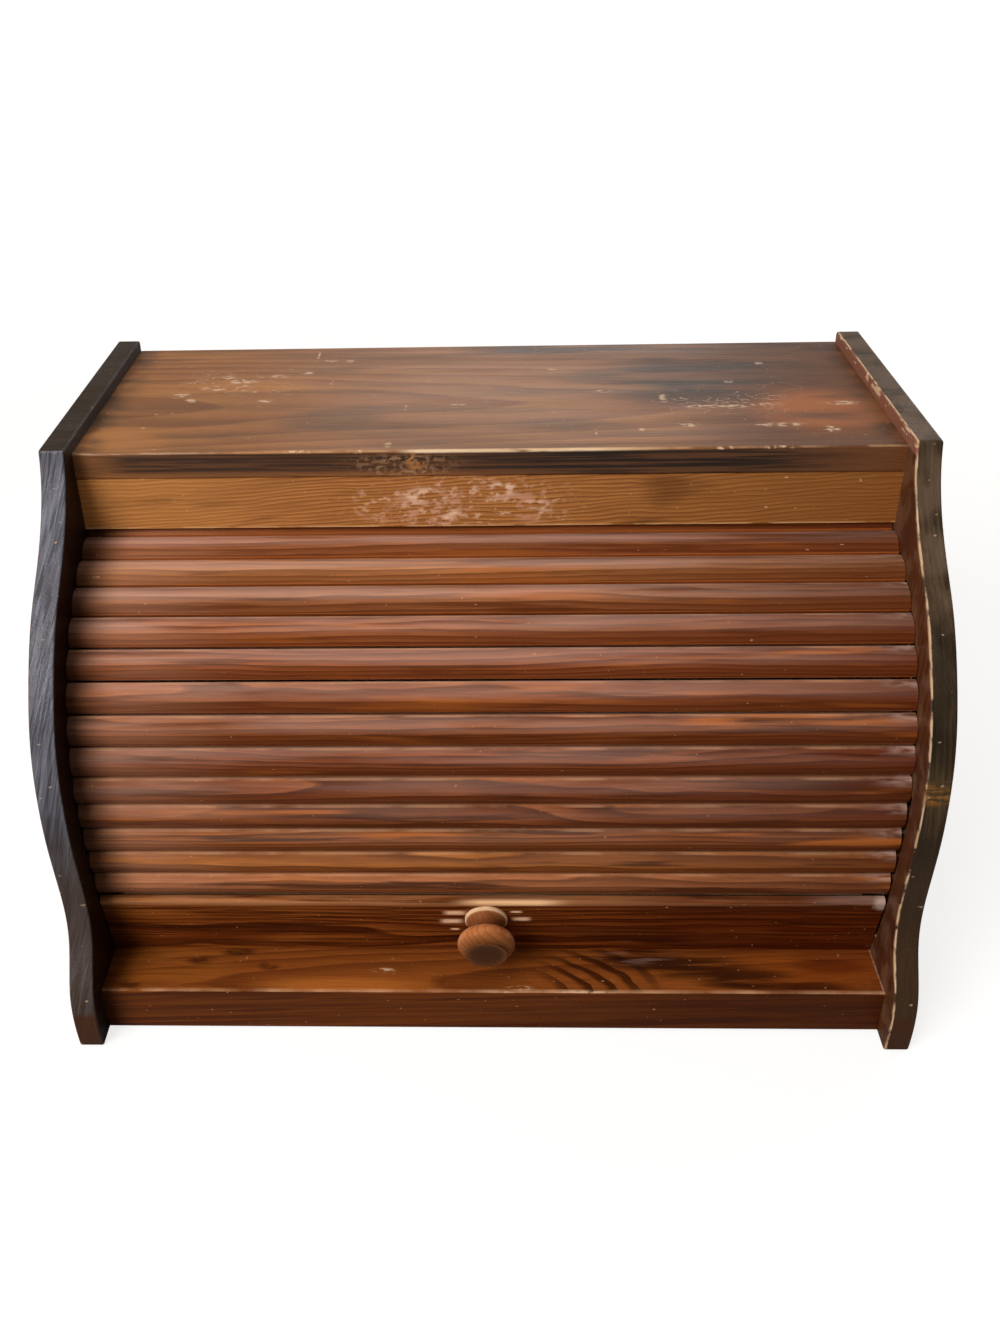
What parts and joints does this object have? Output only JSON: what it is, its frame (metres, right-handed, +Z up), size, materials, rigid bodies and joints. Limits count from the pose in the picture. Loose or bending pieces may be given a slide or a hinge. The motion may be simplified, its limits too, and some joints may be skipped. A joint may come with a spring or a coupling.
{
  "type": "roll top bread box",
  "caption": "Wooden roll top bread box: curved side panels, slatted tambour lid on a canvas back, lift rail with a turned knob, and one compartment behind it.",
  "frame": {"origin": "centre of the footprint, on the surface the box stands on", "axes": "+X to the right seen from the front, +Y to the back, +Z up"},
  "size_m": [0.478, 0.2924, 0.3264],
  "materials": {
    "stained_pine_case": "dark stained pine, worn satin varnish",
    "stained_pine_lid": "red-brown stained pine, worn satin varnish",
    "turned_wood_knob": "turned wood, stained, worn satin varnish",
    "canvas_backing": "plain woven cotton canvas, aged",
    "steel_fastener": "dull plain steel"
  },
  "bodies": {
    "case": {"left_side_panel": "stained_pine_case", "right_side_panel": "stained_pine_case", "top_board": "stained_pine_case", "valance_board": "stained_pine_case", "front_sill": "stained_pine_case", "bottom_board": "stained_pine_case", "back_board": "stained_pine_case", "top_board_nails": "steel_fastener", "valance_nails": "steel_fastener", "front_sill_nails": "steel_fastener", "bottom_board_nails": "steel_fastener", "back_board_nails": "steel_fastener"},
    "lift_rail_set": {"lift_rail": "stained_pine_lid", "cloth_rail": "canvas_backing", "knob": "turned_wood_knob", "knob_screw": "steel_fastener"},
    "slat_01_set": {"slat_01": "stained_pine_lid", "cloth_01": "canvas_backing"},
    "slat_02_set": {"slat_02": "stained_pine_lid", "cloth_02": "canvas_backing"},
    "slat_03_set": {"slat_03": "stained_pine_lid", "cloth_03": "canvas_backing"},
    "slat_04_set": {"slat_04": "stained_pine_lid", "cloth_04": "canvas_backing"},
    "slat_05_set": {"slat_05": "stained_pine_lid", "cloth_05": "canvas_backing"},
    "slat_06_set": {"slat_06": "stained_pine_lid", "cloth_06": "canvas_backing"},
    "slat_07_set": {"slat_07": "stained_pine_lid", "cloth_07": "canvas_backing"},
    "slat_08_set": {"slat_08": "stained_pine_lid", "cloth_08": "canvas_backing"},
    "slat_09_set": {"slat_09": "stained_pine_lid", "cloth_09": "canvas_backing"},
    "slat_10_set": {"slat_10": "stained_pine_lid", "cloth_10": "canvas_backing"},
    "slat_11_set": {"slat_11": "stained_pine_lid", "cloth_11": "canvas_backing"},
    "slat_12_set": {"slat_12": "stained_pine_lid", "cloth_12": "canvas_backing"},
    "slat_13_set": {"slat_13": "stained_pine_lid", "cloth_13": "canvas_backing"},
    "slat_14_set": {"slat_14": "stained_pine_lid", "cloth_14": "canvas_backing"},
    "slat_15_set": {"slat_15": "stained_pine_lid", "cloth_15": "canvas_backing"}
  },
  "joints": [
    {"name": "lid_lift", "type": "hinge", "parent": "case", "child": "lift_rail_set", "pos_m": [0, 0.06755, 0.11834], "axis": [-1, 0, 0], "range_deg": [0, 68.83]},
    {"name": "slat_01_follow", "type": "hinge", "parent": "case", "child": "slat_01_set", "pos_m": [0, 0.04472, 0.12658], "axis": [-1, 0, 0], "range_deg": [0, 79.14]},
    {"name": "slat_02_follow", "type": "hinge", "parent": "case", "child": "slat_02_set", "pos_m": [0, 0.03365, 0.13272], "axis": [-1, 0, 0], "range_deg": [0, 85.75]},
    {"name": "slat_03_follow", "type": "hinge", "parent": "case", "child": "slat_03_set", "pos_m": [0, 0.02474, 0.13922], "axis": [-1, 0, 0], "range_deg": [0, 92.36]},
    {"name": "slat_04_follow", "type": "hinge", "parent": "case", "child": "slat_04_set", "pos_m": [0, 0.01708, 0.14654], "axis": [-1, 0, 0], "range_deg": [0, 99.56]},
    {"name": "slat_05_follow", "type": "hinge", "parent": "case", "child": "slat_05_set", "pos_m": [0, 0.01457, 0.14951], "axis": [-1, 0, 0], "range_deg": [0, 102.42]},
    {"name": "slat_06_follow", "type": "hinge", "parent": "case", "child": "slat_06_set", "pos_m": [0, 0.01419, 0.15019], "axis": [-1, 0, 0], "range_deg": [0, 103.01]},
    {"name": "slat_07_follow", "type": "hinge", "parent": "case", "child": "slat_07_set", "pos_m": [0, 0.0139, 0.15091], "axis": [-1, 0, 0], "range_deg": [0, 103.6]},
    {"name": "slat_08_follow", "type": "hinge", "parent": "case", "child": "slat_08_set", "pos_m": [0, 0.01373, 0.15165], "axis": [-1, 0, 0], "range_deg": [0, 104.19]},
    {"name": "slat_09_follow", "type": "hinge", "parent": "case", "child": "slat_09_set", "pos_m": [0, 0.01368, 0.15241], "axis": [-1, 0, 0], "range_deg": [0, 104.78]},
    {"name": "slat_10_follow", "type": "hinge", "parent": "case", "child": "slat_10_set", "pos_m": [0, 0.01373, 0.15316], "axis": [-1, 0, 0], "range_deg": [0, 105.37]},
    {"name": "slat_11_follow", "type": "hinge", "parent": "case", "child": "slat_11_set", "pos_m": [0, 0.01389, 0.15388], "axis": [-1, 0, 0], "range_deg": [0, 105.96]},
    {"name": "slat_12_follow", "type": "hinge", "parent": "case", "child": "slat_12_set", "pos_m": [0, 0.01416, 0.15456], "axis": [-1, 0, 0], "range_deg": [0, 106.55]},
    {"name": "slat_13_follow", "type": "hinge", "parent": "case", "child": "slat_13_set", "pos_m": [0, 0.01453, 0.15519], "axis": [-1, 0, 0], "range_deg": [0, 107.14]},
    {"name": "slat_14_follow", "type": "hinge", "parent": "case", "child": "slat_14_set", "pos_m": [0, 0.01237, 0.15259], "axis": [-1, 0, 0], "range_deg": [0, 104.44]},
    {"name": "slat_15_follow", "type": "hinge", "parent": "case", "child": "slat_15_set", "pos_m": [0, 0.00919, 0.14968], "axis": [-1, 0, 0], "range_deg": [0, 101.14]}
  ],
  "couplings": [
    {"joint": "slat_01_follow", "follows": "lid_lift", "ratio": 1.1497},
    {"joint": "slat_02_follow", "follows": "lid_lift", "ratio": 1.2457},
    {"joint": "slat_03_follow", "follows": "lid_lift", "ratio": 1.3418},
    {"joint": "slat_04_follow", "follows": "lid_lift", "ratio": 1.4464},
    {"joint": "slat_05_follow", "follows": "lid_lift", "ratio": 1.488},
    {"joint": "slat_06_follow", "follows": "lid_lift", "ratio": 1.4966},
    {"joint": "slat_07_follow", "follows": "lid_lift", "ratio": 1.5051},
    {"joint": "slat_08_follow", "follows": "lid_lift", "ratio": 1.5137},
    {"joint": "slat_09_follow", "follows": "lid_lift", "ratio": 1.5223},
    {"joint": "slat_10_follow", "follows": "lid_lift", "ratio": 1.5309},
    {"joint": "slat_11_follow", "follows": "lid_lift", "ratio": 1.5394},
    {"joint": "slat_12_follow", "follows": "lid_lift", "ratio": 1.548},
    {"joint": "slat_13_follow", "follows": "lid_lift", "ratio": 1.5566},
    {"joint": "slat_14_follow", "follows": "lid_lift", "ratio": 1.5173},
    {"joint": "slat_15_follow", "follows": "lid_lift", "ratio": 1.4693}
  ]
}
